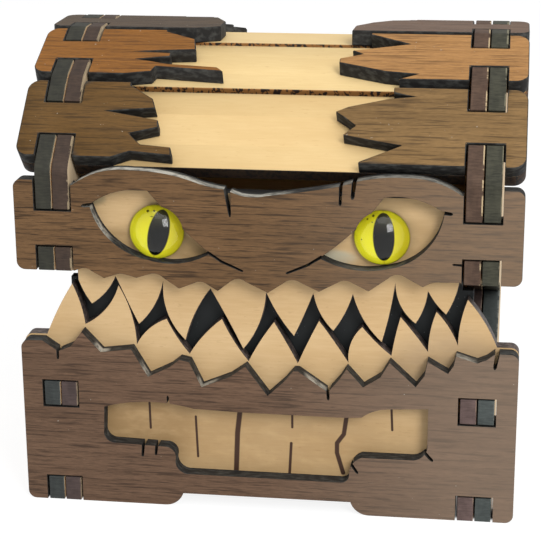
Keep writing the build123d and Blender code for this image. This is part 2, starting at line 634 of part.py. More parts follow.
def screw_places(middle, upward):
    side = 1 if upward else -1
    z = HINGE_Z + side * (HINGE_LEAF + KNUCKLE_R) / 2
    return [(middle - SCREW_SPACING / 2, z), (middle + SCREW_SPACING / 2, z)]


def hinge_pin(middle):
    return Pos(middle, HINGE_Y, HINGE_Z) * (Rot(0, 90, 0) * Cylinder(PIN_R, HINGE_L))


def prism(radius, z0, z1):
    return Pos(0, 0, z0) * extrude(RegularPolygon(radius, SCREW_SIDES), z1 - z0)


def screw(x, z):
    """A flat-ended wood screw, driven in from the back."""
    head = prism(SCREW_HEAD_R, 0, SCREW_HEAD_T)
    head -= Pos(0, 0, SCREW_HEAD_T) * Box(2 * SCREW_HEAD_R, SCREW_HEAD_T / 2, SCREW_HEAD_T)
    body = prism(SCREW_R, -SCREW_L, 0) + head
    return Pos(x, BACK + HINGE_T, z) * (Rot(-90, 0, 0) * body)


def screw_hole(x, z, reach):
    """A hole this far to both sides of the back face."""
    drill = prism(SCREW_R + SCREW_FIT, -reach, reach)
    return Pos(x, BACK, z) * (Rot(-90, 0, 0) * drill)


def pilot_holes(upward):
    """Holes through the outer back sheet, behind both hinges."""
    places = screw_places(-HINGE_X, upward) + screw_places(HINGE_X, upward)
    return [screw_hole(x, z, SHEET) for x, z in places]


# ---------------------------------------------------------------- making the pieces
def make_base():
    pieces = {}
    pieces["lower_jaw_front"] = upright(lower_jaw_face(), FRONT)
    pieces["lower_teeth_sheet"] = upright(lower_teeth_face(), FRONT + SHEET)
    outer = wall(base_wall_face(), OUTER_X)
    inner = wall(base_wall_face(), INNER_X)
    pieces["base_side_outer_right"], pieces["base_side_outer_left"] = outer, mirror_side(outer)
    pieces["base_side_inner_right"], pieces["base_side_inner_left"] = inner, mirror_side(inner)
    back = block(-WALLS_X, WALLS_X, 0, BASE_H)
    back = fillet(back.vertices(), CORNER_R) - base_slots()
    back -= block(-FOOT_IN + 2, FOOT_IN - 2, -1, FOOT_LIFT)
    pieces["base_back_inner"] = upright(back, BACK - TWO)
    pieces["base_back_outer"] = upright(back, BACK - SHEET) - pilot_holes(upward=False)
    board = block(-INNER_X, INNER_X, FRONT + TWO, BACK - TWO)
    for side in (-1, 1):
        mid = MID + side * FLOOR_TAB_Y
        half = FLOOR_TAB_W / 2 - TAB_END_GAP
        board += block(-WALLS_X, WALLS_X, mid - half, mid + half)
    pieces["base_floor"] = Pos(0, 0, FLOOR_Z) * extrude(board, SHEET)
    return pieces


def make_lid():
    pieces = {}
    pieces["upper_jaw_front"] = upright(upper_jaw_face(), FRONT)
    pieces["upper_teeth_sheet"] = upright(upper_teeth_face(), FRONT + SHEET)
    backing_x = INNER_X - SEAT_GAP
    backing = block(-backing_x, backing_x, BASE_H - BACKING_DROP, JAW_Z + BACKING_RISE)
    ears_x = backing_x + EAR_REACH
    backing += block(-ears_x, ears_x, BASE_H + EAR_LIFT, JAW_Z - EAR_DROP)
    pieces["mouth_backing"] = upright(backing, FRONT + TWO + SEAT_GAP, BACKING_T)
    for name, (x, z) in zip(("left", "right"), eye_centres()):
        pieces["eye_iris_" + name] = iris_disc(x, z)
        pieces["eye_glass_" + name] = eye_dome(x, z)
    outer = wall(lid_wall_face(), OUTER_X)
    inner = wall(lid_wall_face(), INNER_X)
    pieces["lid_side_outer_right"], pieces["lid_side_outer_left"] = outer, mirror_side(outer)
    pieces["lid_side_inner_right"], pieces["lid_side_inner_left"] = inner, mirror_side(inner)
    back = fillet(block(-WALLS_X, WALLS_X, LID_Z, JAW_TOP - BACK_DROP).vertices(), CORNER_R)
    low = block(SLOT_IN, SLOT_OUT, LID_Z - SHEET, BACK_TAB_Z)
    high = block(SLOT_IN, SLOT_OUT, BRIDGE_TOP, JAW_TOP + SHEET)
    back -= on_both_sides(low + high)
    pieces["lid_back_inner"] = upright(back, BACK - TWO)
    pieces["lid_back_outer"] = upright(back, BACK - SHEET) - pilot_holes(upward=True)
    for letter, facet in zip("abc", FACETS):
        pieces["lid_slat_" + letter] = facet.board(slat_face(facet), 1)
        for side in ("left", "right"):
            shape = plank_face(facet, BREAKS[letter + "_" + side])
            pieces["lid_plank_" + letter + "_" + side] = facet.board(shape, 0)
    for letter, facet in zip("de", (FACETS[1], FACETS[0])):
        pieces["lid_slat_" + letter] = to_back(facet.board(slat_face(facet), 1))
        for side in ("left", "right"):
            shape = plank_face(facet, swap_side(BREAKS[BACK_BREAKS[letter + "_" + side]]))
            pieces["lid_plank_" + letter + "_" + side] = to_back(facet.board(shape, 0))
    return pieces


def make_hinges():
    pieces = {}
    screws = {True: [], False: []}
    for name, middle in (("left", -HINGE_X), ("right", HINGE_X)):
        pieces["hinge_leaf_base_" + name] = hinge_leaf(middle, upward=False)
        pieces["hinge_leaf_lid_" + name] = hinge_leaf(middle, upward=True)
        pieces["hinge_pin_" + name] = hinge_pin(middle)
        for upward in (True, False):
            screws[upward] += [screw(x, z) for x, z in screw_places(middle, upward)]
    pieces["hinge_screws_lid"] = Compound(children=[s for s in screws[True]])
    pieces["hinge_screws_base"] = Compound(children=[s for s in screws[False]])
    return pieces


for name, piece in {**make_base(), **make_lid(), **make_hinges()}.items():
    export_step(piece, "parts/" + name + ".step")
    box = piece.bounding_box()
    print(f"{name:26s} y {box.min.Y:7.2f} {box.max.Y:7.2f}  z {box.min.Z:6.2f} {box.max.Z:6.2f}")
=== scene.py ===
# %% [markdown]
# # A toothed dice chest
# The real object is a small hinged box cut by laser from two kinds of thin board: a dark
# one for the skin, a pale one for teeth and lining. Nearly all of it is flat sheet, so the
# solids of the CAD model keep their shape, and this lesson gives them cut edges, wood, glass
# and light. The outer side walls are let lean a little, and the round eyes are modelled anew.
# Everything is in metres, in the CAD frame: the mouth faces -Y and the feet stand on Z = 0.

# %% Load the CAD pieces
import json
import math

import bmesh
import bpy
import numpy as np
from mathutils import Matrix, Vector

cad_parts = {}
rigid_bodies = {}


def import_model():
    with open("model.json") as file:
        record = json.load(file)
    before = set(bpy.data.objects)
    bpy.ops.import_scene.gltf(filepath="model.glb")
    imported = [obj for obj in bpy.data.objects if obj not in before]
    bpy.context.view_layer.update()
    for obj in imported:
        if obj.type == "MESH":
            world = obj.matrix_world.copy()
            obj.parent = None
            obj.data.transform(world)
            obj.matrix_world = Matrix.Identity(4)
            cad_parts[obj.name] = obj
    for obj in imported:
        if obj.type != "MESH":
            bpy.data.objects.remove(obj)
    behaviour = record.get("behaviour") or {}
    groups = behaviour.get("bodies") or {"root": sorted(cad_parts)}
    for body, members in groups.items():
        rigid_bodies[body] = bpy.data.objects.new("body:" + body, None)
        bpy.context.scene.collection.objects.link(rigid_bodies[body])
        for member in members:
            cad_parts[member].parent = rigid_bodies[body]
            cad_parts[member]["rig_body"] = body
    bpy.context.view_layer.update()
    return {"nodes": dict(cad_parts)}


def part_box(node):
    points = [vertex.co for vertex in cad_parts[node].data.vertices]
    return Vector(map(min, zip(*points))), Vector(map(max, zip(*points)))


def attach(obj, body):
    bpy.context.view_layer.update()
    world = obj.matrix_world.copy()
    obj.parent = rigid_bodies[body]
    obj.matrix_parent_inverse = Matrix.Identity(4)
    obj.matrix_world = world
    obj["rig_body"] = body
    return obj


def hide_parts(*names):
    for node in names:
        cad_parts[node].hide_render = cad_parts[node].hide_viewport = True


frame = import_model()
body_of = {node: obj["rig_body"] for node, obj in frame["nodes"].items()}

# %% Measure what the finishes need
MM = 0.001
FRONT_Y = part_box("lower_jaw_front")[0].y    # the outer face of the front boards
WHITE = (1.0, 1.0, 1.0, 1.0)
ACROSS, DEEP, UP = (1.0, 0.0, 0.0), (0.0, 1.0, 0.0), (0.0, 0.0, 1.0)
print("front face at y", round(FRONT_Y / MM, 2), "mm")

# %% [markdown]
# ## Writing shader maths as sums
# A wood finish is mostly arithmetic on noise. Written node by node it is hard to read, so a
# small class wraps a socket and turns `a * b + c` into Math nodes. A second class fills a
# node tree and adds every other node through one method, settings first and sockets after.
# A third is one material: it knows where it is on the object, in millimetres.

# %% A socket that does sums
class Value:
    """A number that varies over a surface. An operator on it adds one Math node."""

    def __init__(self, nodes, socket):
        self.nodes, self.socket = nodes, socket

    def sum(self, operation, *others):
        sockets = dict(enumerate((self,) + others))
        return self.nodes.node("Math", {"operation": operation}, sockets)

    def turned(self, operation, first):
        return self.nodes.node("Math", {"operation": operation}, {0: first, 1: self})

    def __add__(self, other): return self.sum("ADD", other)
    def __radd__(self, other): return self.turned("ADD", other)
    def __sub__(self, other): return self.sum("SUBTRACT", other)
    def __rsub__(self, other): return self.turned("SUBTRACT", other)
    def __mul__(self, other): return self.sum("MULTIPLY", other)
    def __rmul__(self, other): return self.turned("MULTIPLY", other)
    def __truediv__(self, other): return self.sum("DIVIDE", other)
    def __rtruediv__(self, other): return self.turned("DIVIDE", other)
    def __pow__(self, other): return self.sum("POWER", other)
    def __rpow__(self, other): return self.turned("POWER", other)
    def __gt__(self, other): return self.sum("GREATER_THAN", other)
    def __lt__(self, other): return self.sum("LESS_THAN", other)
    def __abs__(self): return self.sum("ABSOLUTE")

    def least(self, other):
        return self.sum("MINIMUM", other)

    def most(self, other):
        return self.sum("MAXIMUM", other)

    def step(self, low, high):
        """0 below low, 1 above high, smooth between; low may be the larger of the two."""
        return self.nodes.node("MapRange", {"interpolation_type": "SMOOTHSTEP"},
                               {"Value": self, "From Min": low, "From Max": high})


# %% A tree that is filled with nodes
class Nodes:
    """A node tree, emptied first, that every node goes into through one method."""

    def __init__(self, tree):
        self.tree = tree
        self.tree.nodes.clear()

    def node(self, kind, settings, sockets, out=0):
        """Adds a node: settings first, then its sockets by name or number."""
        made = self.tree.nodes.new("ShaderNode" + kind)
        for key, value in settings.items():
            setattr(made, key, value)
        for key, value in sockets.items():
            target = made.inputs[key]
            if isinstance(value, Value):
                self.tree.links.new(value.socket, target)
            else:
                target.default_value = value
        return Value(self, made.outputs[out])

    def watched(self):
        """1 on rays from the camera, in reflections and through glass; 0 on rays that light."""
        camera, glossy, clear = (self.node("LightPath", {}, {}, out="Is " + kind + " Ray")
                                 for kind in ("Camera", "Glossy", "Transmission"))
        return camera.most(glossy).most(clear)

    def end_in(self, kind, shader):
        """Sends a shader to the output of a Material or a World."""
        output = self.tree.nodes.new("ShaderNodeOutput" + kind)
        self.tree.links.new(shader.socket, output.inputs["Surface"])


# %% A finish: one material and its nodes
def srgb(red, green, blue):
    """A colour read off a screen, 0 to 255, as the linear numbers that shaders use."""
    linear = [(c / 12.92 if c <= 0.04045 else ((c + 0.055) / 1.055) ** 2.4)
              for c in (red / 255, green / 255, blue / 255)]
    return (*linear, 1.0)


SEED_STEP = 17.3                            # moves each noise away from the one before
BUMP_HEIGHT = 0.1 * MM                      # the deepest pore or brushing line


class Finish(Nodes):
    """A procedural material. Lengths inside it are millimetres in the object's own frame."""

    def __init__(self, name):
        self.material = bpy.data.materials.new(name)
        self.material.use_nodes = True
        super().__init__(self.material.node_tree)
        self.seed = 0.0
        place = self.node("TexCoord", {}, {}, out="Object")
        self.mm = self.node("VectorMath", {"operation": "SCALE"}, {0: place, "Scale": 1 / MM})
        self.x, self.y, self.z = (self.node("SeparateXYZ", {}, {0: self.mm}, out=i)
                                  for i in range(3))
        self.normal = self.node("TexCoord", {}, {}, out="Normal")

    def noise(self, per_mm, detail=3.0, roughness=0.55, warp=0.0):
        """Noise with its own number of waves per millimetre along X, Y and Z."""
        self.seed += SEED_STEP
        stretched = self.node("VectorMath", {"operation": "MULTIPLY_ADD"},
                              {0: self.mm, 1: per_mm, 2: (self.seed, -self.seed, self.seed / 2)})
        return self.node("TexNoise", {}, {"Vector": stretched, "Scale": 1.0, "Detail": detail,
                                          "Roughness": roughness, "Distortion": warp})

    def mix(self, amount, first, second):
        """Colour mix: first where amount is 0, second where it is 1."""
        return self.node("Mix", {"data_type": "RGBA"}, {0: amount, 6: first, 7: second}, out=2)

    def facing(self, direction):
        """How squarely the surface faces along a direction or against it, 0 to 1."""
        return abs(self.node("VectorMath", {"operation": "DOT_PRODUCT"},
                             {0: self.normal, 1: direction}, out="Value"))

    def rising(self):
        """1 where the surface looks up, 0 where it is upright or looks down."""
        return self.node("SeparateXYZ", {}, {0: self.normal}, out=2).step(0.1, 0.5)

    def patches(self, places):
        """The strongest of several soft ellipses in (x, z): centre, reach and amount of each."""
        whole = None
        for (x, z), (wide, high), amount in places:
            across, up = (self.x - x) / wide, (self.z - z) / high
            spot = (across * across + up * up).step(1.4, 0.15) * amount
            whole = spot if whole is None else whole.most(spot)
        return whole

    def segment(self, start, end, width):
        """1 on a thin straight stroke drawn in (x, z), fading over a quarter of its width."""
        run, rise = end[0] - start[0], end[1] - start[1]
        length = math.hypot(run, rise)
        across, up = self.x - start[0], self.z - start[1]
        along = (across * (run / length) + up * (rise / length)).most(0.0).least(length)
        off_x = across - along * (run / length)
        off_z = up - along * (rise / length)
        gap = (off_x * off_x + off_z * off_z) ** 0.5
        return gap.step(width * 0.62, width * 0.38)

    def strokes(self, points, width):
        """A line of strokes through several points."""
        drawn = [self.segment(a, b, width) for a, b in zip(points, points[1:])]
        whole = drawn[0]
        for stroke in drawn[1:]:
            whole = whole.most(stroke)
        return whole

    def surface(self, colour, roughness, height=None, strength=0.0, **fixed):
        """Ends the material in a Principled shader, with a bump where a height is given."""
        sockets = {"Base Color": colour, "Roughness": roughness}
        if height is not None:
            bump = {"Strength": strength, "Distance": BUMP_HEIGHT, "Height": height}
            sockets["Normal"] = self.node("Bump", {}, bump)
        for name, value in fixed.items():
            sockets[name.replace("_", " ")] = value
        self.end_in("Material", self.node("BsdfPrincipled", {}, sockets))
        return self.material


# %% [markdown]
# ## Walnut face, burnt edge
# The laser leaves a board with a clean open-pored face and nearly black edges. Face and edge
# could be two materials, set face by face. They are one here: the object's own surface normal
# tells face from edge, so a bevel between them blends by itself. Grain runs along X, so each
# layer of it is noise that changes slowly along X and fast across it.

# %% Walnut boards
SOOT = srgb(38, 37, 36)
SOOT_LIT = srgb(76, 76, 73)
# Pale dust; on up-facing edges it is also a painted highlight.
DUST_AND_HIGHLIGHT = srgb(186, 182, 170)
# Painted light: the dark boards turn paler and cooler towards their right end, between these two x.
RIGHT_LIGHT_TONE = srgb(150, 133, 116)
RIGHT_LIGHT_FROM, RIGHT_LIGHT_TO = -8.0, 46.0         # x, in millimetres
DUST_AND_HIGHLIGHT_DEPTH = (2.3, 1.5)                     # millimetres behind the front where the pale dust and painted highlight end
# How squarely a surface faces along its board's face: edge below the first, face above the second.
CRISP_FACE, SOFT_FACE = (0.86, 0.93), (0.80, 0.95)
# How strongly each board mirrors, as the specular level.
WALNUT_SHEEN, MAPLE_SHEEN, WALL_SHEEN, CARD_SHEEN = 0.18, 0.35, 0.25, 0.3


def burnt(f):
    """The colour of a laser-cut edge: soot, broken by paler scuffs."""
    scuff = f.noise((0.5, 1.6, 0.9), 4).step(0.42, 0.70)
    return f.mix(scuff * 0.8, SOOT, SOOT_LIT)


def walnut(name, pale, middle, dark, face, contrast=1.0, dust_and_highlight=(), right_light=0.0):
    """Dark board whose face looks along `face`, with pale dust and a painted highlight on its
    up-facing edges in places.

    The last argument is how far its right end is painted paler and cooler, as painted light from
    the right. Layers, from broad to fine:
    drift of tone, growth bands, fibre, dark streaks, pores and a coarse grain.
    """
    f = Finish(name)
    drift = f.noise((0.035, 0.14, 0.14), 2).step(0.3, 0.7)
    bands = f.noise((0.03, 0.9, 0.9), 5, 0.62, 0.4).step(0.34, 0.66)
    fibre = f.noise((0.20, 3.6, 3.6), 3, 0.6).step(0.35, 0.68)
    streaks = f.noise((0.10, 2.1, 2.1), 3, 0.6).step(0.50, 0.66)
    pores = f.noise((0.30, 6.0, 6.0), 2, 0.5).step(0.58, 0.68)
    coarse = f.noise((0.9, 4.2, 4.2), 2, 0.5).step(0.35, 0.65)
    wood = f.mix(bands * 0.65 + drift * 0.35, middle, pale)
    wood = f.mix(fibre * 0.40, wood, pale)
    wood = f.mix((pores * 0.55).most(streaks * 0.70) * contrast, wood, dark)
    wood = f.mix(coarse * 0.16, wood, dark)
    # Painted light from the right: paler and cooler towards the right end.
    wood = f.mix(f.x.step(RIGHT_LIGHT_FROM, RIGHT_LIGHT_TO) * right_light, wood, RIGHT_LIGHT_TONE)
    specks = f.noise((1.7, 1.7, 1.7), 1).step(0.765, 0.80)
    wood = f.mix(specks * 0.6, wood, DUST_AND_HIGHLIGHT)
    on_face = f.facing(face).step(*CRISP_FACE)
    colour = f.mix(on_face, burnt(f), wood)
    if dust_and_highlight:
        grains = f.noise((0.45, 0.9, 0.9), 4, 0.65).step(0.36, 0.58)
        near = f.y.step(*(FRONT_Y / MM + depth for depth in DUST_AND_HIGHLIGHT_DEPTH))
        # Pale dust and a painted highlight on edges that face up, near the front.
        lit_dust_mask = f.patches(dust_and_highlight) * f.facing(face).step(0.80, 0.55) * f.rising() * near
        colour = f.mix(lit_dust_mask * (grains * 0.7 + 0.3), colour, DUST_AND_HIGHLIGHT)
    height = bands * 0.3 + fibre * 0.4 - pores * 0.6
    return f.surface(colour, roughness=0.74 - on_face * 0.12 - fibre * 0.06,
                     height=height * on_face, strength=0.25, Specular_IOR_Level=WALNUT_SHEEN)


LID_SLOPES = {"a": 42.5, "b": 23.2, "c": 0.0, "d": -23.2, "e": -42.5}


def facet_normal(letter):
    """The outward direction of a lid facet: (0, -sin slope, cos slope)."""
    slope = math.radians(LID_SLOPES[letter])
    return (0.0, -math.sin(slope), math.cos(slope))


# Pale, middle and dark tone of each kind of board. The lid's planks come from several; the shaded
# tones are painted shade, a darker walnut for a plank that lies in shade.
JAW_TONES = srgb(118, 92, 73), srgb(93, 71, 55), srgb(46, 34, 27)
BROW_TONES = srgb(122, 92, 62), srgb(94, 70, 46), srgb(44, 32, 22)
OLIVE_TONES = srgb(112, 82, 43), srgb(88, 64, 32), srgb(42, 31, 18)
GREY_TONES = srgb(144, 113, 72), srgb(118, 91, 56), srgb(60, 45, 29)
RED_TONES = srgb(153, 101, 45), srgb(128, 83, 34), srgb(64, 40, 19)
SHADED_TONES = srgb(82, 62, 38), srgb(62, 46, 27), srgb(32, 24, 15)
SANDY_TONES = srgb(188, 140, 87), srgb(159, 115, 67), srgb(86, 59, 34)
PLANK_TONES = {"a_left": OLIVE_TONES, "a_right": GREY_TONES,
               "b_left": RED_TONES, "b_right": SANDY_TONES,
               "c_left": SHADED_TONES, "c_right": JAW_TONES,
               "d_left": SANDY_TONES, "d_right": RED_TONES,
               "e_left": GREY_TONES, "e_right": OLIVE_TONES}

# Where pale dust and a painted highlight lie on edges that face up: centre, reach in (x, z)
# millimetres, amount.
BROW_DUST_AND_HIGHLIGHT = [((-23.0, 66.5), (18.0, 5.0), 1.0), ((-3.0, 63.0), (8.0, 2.0), 0.8),
             ((25.0, 66.5), (15.0, 5.0), 0.4), ((-31.0, 57.0), (4.0, 4.5), 0.7),
             ((22.0, 49.2), (9.0, 1.5), 0.2)]
CHIN_DUST_AND_HIGHLIGHT = [((-31.5, 31.0), (1.6, 2.4), 0.9), ((-24.0, 27.0), (2.0, 2.0), 0.7),
             ((-11.5, 25.5), (2.5, 1.5), 0.7), ((9.5, 26.5), (2.5, 3.0), 0.8),
             ((37.0, 32.5), (2.5, 1.5), 0.6), ((29.5, 18.0), (3.0, 5.0), 0.6)]

jaw_walnut = walnut("walnut_jaw", *JAW_TONES, DEEP, dust_and_highlight=CHIN_DUST_AND_HIGHLIGHT, right_light=0.42)
brow_walnut = walnut("walnut_brow", *BROW_TONES, DEEP, contrast=1.15, dust_and_highlight=BROW_DUST_AND_HIGHLIGHT,
                     right_light=0.34)
plank_walnut = {name: walnut("walnut_plank_" + name, *tones, facet_normal(name[0]), contrast=0.85)
                for name, tones in PLANK_TONES.items()}
print("walnut finishes:", 2 + len(plank_walnut))

# %% [markdown]
# ## Maple slats
# The pale board shows between the broken planks of the lid. Its face is even, with short
# brown flecks along the grain; its cut edges are caramel, dotted black where the beam dwelt,
# and charred all over on the lowest slats. The slats could share one finish; each has its own,
# because a finish has to know which way the face points to tell it from the edge.

# %% Maple boards
def maple_wood(f, pale, middle, fleck):
    """Even pale wood: slow cloudy tone, fine fibre along X, a few short dark flecks."""
    cloud = f.noise((0.05, 0.12, 0.12), 3).step(0.3, 0.7)
    fibre = f.noise((0.22, 2.6, 2.6), 3).step(0.35, 0.75)
    flecks = f.noise((0.55, 3.4, 3.4), 2).step(0.64, 0.74)
    wood = f.mix(cloud * 0.6 + fibre * 0.4, middle, pale)
    return f.mix(flecks * 0.30, wood, fleck)


# Pale, middle and fleck of the face, then caramel and char of the edge.
LOW_SLAT = ((srgb(228, 197, 141), srgb(220, 186, 129), srgb(196, 152, 96)),
            (srgb(52, 38, 27), srgb(24, 20, 18)))
HIGH_SLAT = ((srgb(240, 211, 153), srgb(231, 199, 140), srgb(202, 160, 104)),
             (srgb(158, 108, 56), srgb(40, 27, 20)))
SLAT_END = srgb(54, 40, 29)


def maple_slat(letter):
    """A lid slat: pale face, caramel edge with scorched dots, and plain dark ends."""
    f = Finish("maple_slat_" + letter)
    tones, (caramel, char) = LOW_SLAT if letter in "ae" else HIGH_SLAT
    wood = maple_wood(f, *tones)
    dots = f.noise((1.5, 1.1, 1.1), 2).step(0.50, 0.56)
    edge = f.mix(dots, caramel, char)
    edge = f.mix(f.facing(ACROSS).step(0.6, 0.9) * 0.85, edge, SLAT_END)
    on_face = f.facing(facet_normal(letter)).step(*CRISP_FACE)
    return f.surface(f.mix(on_face, edge, wood), roughness=0.62, Specular_IOR_Level=MAPLE_SHEEN)


slat_maple = {letter: maple_slat(letter) for letter in LID_SLOPES}
print("slat finishes:", len(slat_maple))

# %% [markdown]
# ## Teeth, eye whites and chin
# One pale sheet behind each dark front makes the teeth, the whites of the eyes and the chin.
# The lines down the chin are only scorched in, so they are colour and not cuts. They could be
# painted as an image; each is the distance to a run of straight strokes, which stays sharp
# at any size. Smoke and painted shade go on first, and the burnt lines over it.

# %% Teeth, eye whites and chin
BURN = srgb(62, 38, 24)
TOOTH_TONES = srgb(219, 187, 140), srgb(206, 171, 122), srgb(170, 128, 80)
TOOTH_EDGE, TOOTH_EDGE_LIT = srgb(64, 54, 50), srgb(112, 98, 92)
UNDER_LID_SHADE_Z = (58.0, 60.0)      # edges higher than this lie under the lid, and are painted black there as shade
# Burnt lines across the chin, in (x, z) millimetres: points from top to bottom, and width.
CHIN_CRACKS = [
    ([(-23.0, 19.9), (-22.9, 14.7)], 0.45),
    ([(-14.0, 17.5), (-13.7, 9.2)], 0.45),
    ([(-5.4, 18.9), (-5.9, 14.6), (-6.3, 5.0)], 1.0),
    ([(4.7, 18.6), (4.7, 16.2)], 0.45),
    ([(4.5, 12.9), (4.1, 5.5)], 0.55),
    ([(15.1, 19.0), (14.6, 15.3), (13.3, 13.4), (13.3, 11.4), (14.5, 7.3)], 0.85),
    ([(23.6, 20.7), (23.8, 16.6)], 0.45),
]
# Tones laid round the eyes and on the chin, each with its places as for dust above: smoke, painted
# shade towards the edges of the openings under the dark front, and a paler patch.
EYE_SMOKE_AND_SHADE = [
    (srgb(150, 120, 76), [((-24.0, 52.5), (8.5, 3.0), 0.6), ((-14.5, 51.5), (5.0, 3.0), 0.7),
                          ((27.5, 53.0), (4.5, 5.5), 0.4), ((24.0, 61.8), (9.0, 2.2), 0.4)]),
    (srgb(136, 130, 100), [((-32.4, 60.2), (2.4, 1.3), 0.6)]),
    (srgb(198, 196, 174), [((12.2, 50.4), (4.6, 1.6), 0.8)]),
    (srgb(112, 100, 64), [((-20.2, 54.9), (5.9, 5.9), 0.5), ((21.7, 55.2), (5.9, 5.9), 0.5)]),
]
# Painted shade in the chin's recess behind the dark front, heavier to the left, and a darker patch
# at the lower right.
CHIN_SHADE_AND_TONE = [
    (srgb(150, 118, 76), [((-25.0, 15.0), (15.0, 11.0), 0.75), ((0.0, 13.0), (34.0, 9.0), 0.45)]),
    (srgb(172, 146, 116), [((34.0, 29.0), (12.0, 9.0), 0.55)]),
]


def maple_teeth(name, cracks, smoke_and_shade):
    """Tooth board: tan maple, burnt cracks, and smoke, painted shade and other tones where it shows
    in openings.
    """
    f = Finish(name)
    wood = maple_wood(f, *TOOTH_TONES)
    # Smoke and painted shade towards the edges of the openings, and other patches of tone.
    for colour, places in smoke_and_shade:
        cloud = f.noise((0.25, 0.5, 0.5), 3).step(0.2, 0.6) * 0.4 + 0.6
        wood = f.mix(f.patches(places) * cloud, wood, colour)
    for points, width in cracks:
        wood = f.mix(f.strokes(points, width), wood, BURN)
    on_face = f.facing(DEEP).step(*SOFT_FACE)
    edge = f.mix(f.noise((0.8, 1.4, 1.4), 2).step(0.4, 0.7), TOOTH_EDGE, TOOTH_EDGE_LIT)
    # Painted shade: the edges that lie under the lid are made black.
    edge = f.mix(f.z.step(*UNDER_LID_SHADE_Z), edge, SOOT)
    return f.surface(f.mix(on_face, edge, wood), roughness=0.60, Specular_IOR_Level=MAPLE_SHEEN)


teeth_low = maple_teeth("maple_lower_teeth", CHIN_CRACKS, CHIN_SHADE_AND_TONE)
teeth_high = maple_teeth("maple_upper_teeth", [], EYE_SMOKE_AND_SHADE)
print("tooth finishes:", teeth_low.name, teeth_high.name, "with", len(CHIN_CRACKS), "burnt lines")

# %% [markdown]
# ## Side walls on edge
# Each side is two boards side by side, and both poke through the front as tabs. Seen on
# edge, the outer one is soot speckled grey, the inner one red-brown, and each has a thin
# cream line where its face veneer was cut. The line could be a strip of its own; it is just
# a band of the board's own X, broken by noise, because it has no thickness to model.

# %% Wall plies
WALL_TONES = srgb(226, 203, 170), srgb(214, 188, 150), srgb(184, 150, 108)
LEFT_SHADE_X = (-30.0, -36.0)    # the left walls' edges, past this, are painted darker than the right ones: painted shade, as less light falls on the left


def wall_ply(name, node, pale, dark, cream, streak):
    """A wall board: light maple faces, a striped burnt edge and a thin veneer line on it.

    The line is `streak` millimetres wide, along the board's side towards +X.
    """
    f = Finish(name)
    line_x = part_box(node)[1].x / MM - streak
    wood = maple_wood(f, *WALL_TONES)
    stripes = f.noise((0.5, 3.4, 3.4), 3, 0.6).step(0.35, 0.68)
    cloud = f.noise((0.6, 0.25, 0.25), 3).step(0.3, 0.7)
    edge = f.mix(stripes * 0.55 + cloud * 0.45, dark, pale)
    veneer = (f.x > line_x) * f.noise((0.1, 0.35, 0.35), 3, 0.6).step(0.44, 0.52)
    edge = f.mix(veneer * 0.75, edge, cream)
    # Painted shade: the left walls' edges are darkened towards soot.
    edge = f.mix(f.x.step(*LEFT_SHADE_X) * 0.45, edge, SOOT)
    on_face = f.facing(ACROSS).step(*SOFT_FACE)
    return f.surface(f.mix(on_face, edge, wood), roughness=0.75, height=stripes * (1 - on_face),
                     strength=0.15, Specular_IOR_Level=WALL_SHEEN)


# Pale, dark and cream tone of the edge, and width of its cream line.
OUTER_EDGE = {"base": (srgb(82, 88, 86), srgb(56, 61, 60), srgb(128, 132, 126), 0.12),
              "lid": (srgb(74, 73, 60), srgb(44, 44, 36), srgb(140, 134, 110), 0.12)}
INNER_EDGE = {"base": (srgb(110, 91, 87), srgb(80, 65, 62), srgb(150, 128, 112), 0.16),
              "lid": (srgb(97, 76, 62), srgb(66, 50, 41), srgb(214, 190, 150), 0.24)}

# %% [markdown]
# ## Black mouth
# Behind the teeth hangs a sheet of black card. What makes it read as real is the white dust
# that has settled on it. Loose grains would be pieces of their own, far too many to place, so
# the finish is almost black with a scatter of tiny pale points. The boards inside the chest,
# which are hardly seen, are plain maple.

# %% Mouth and inner boards
CARD, CARD_DUST = srgb(27, 30, 31), srgb(150, 155, 155)
LINING_TONES = srgb(222, 190, 140), srgb(208, 172, 120), srgb(172, 130, 82)


def black_card():
    """Almost black, with pale specks of dust that gather in slow drifts."""
    f = Finish("black_card")
    specks = f.noise((2.6, 2.6, 2.6), 1).step(0.74, 0.79)
    drift = f.noise((0.2, 0.2, 0.2), 2).step(0.40, 0.60)
    colour = f.mix(specks * drift * 0.7, CARD, CARD_DUST)
    return f.surface(colour, roughness=0.55, Specular_IOR_Level=CARD_SHEEN)


def plain_maple(name, face):
    """An inner board: maple on the faces that look along `face`, burnt on its edges."""
    f = Finish(name)
    wood = maple_wood(f, *LINING_TONES)
    on_face = f.facing(face).step(*SOFT_FACE)
    return f.surface(f.mix(on_face, burnt(f), wood), roughness=0.62,
                     Specular_IOR_Level=MAPLE_SHEEN)


# %% [markdown]
# ## Cut edges that catch the light
# A laser-cut board has crisp but not perfect edges, and the thin pale line along the brow is
# exactly that arris catching dust and light. A bevel in the CAD would make its files heavy,
# so each piece is shown as a copy of its CAD mesh, with the loose triangles merged back into
# flats and a tiny bevel modifier on the edges between them.

# %% Dress a CAD piece
ARRIS = 0.16 * MM                           # bevel of the dark boards
FINE_ARRIS = 0.1 * MM                       # of the pale ones
MERGE = 1e-7                                # metres
FLAT = math.radians(1)                      # faces that meet flatter than this are one
CORNER = math.radians(32)                   # edges sharper than this are bevelled


def shown(name, data):
    """A new object in the scene that holds a mesh, a lamp or a camera."""
    thing = bpy.data.objects.new(name, data)
    bpy.context.scene.collection.objects.link(thing)
    return thing


def stand_for(piece, node, material):
    """Gives a piece its finish and its body, and puts it in a CAD node's place."""
    piece.data.materials.clear()
    piece.data.materials.append(material)
    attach(piece, body_of[node])
    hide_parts(node)


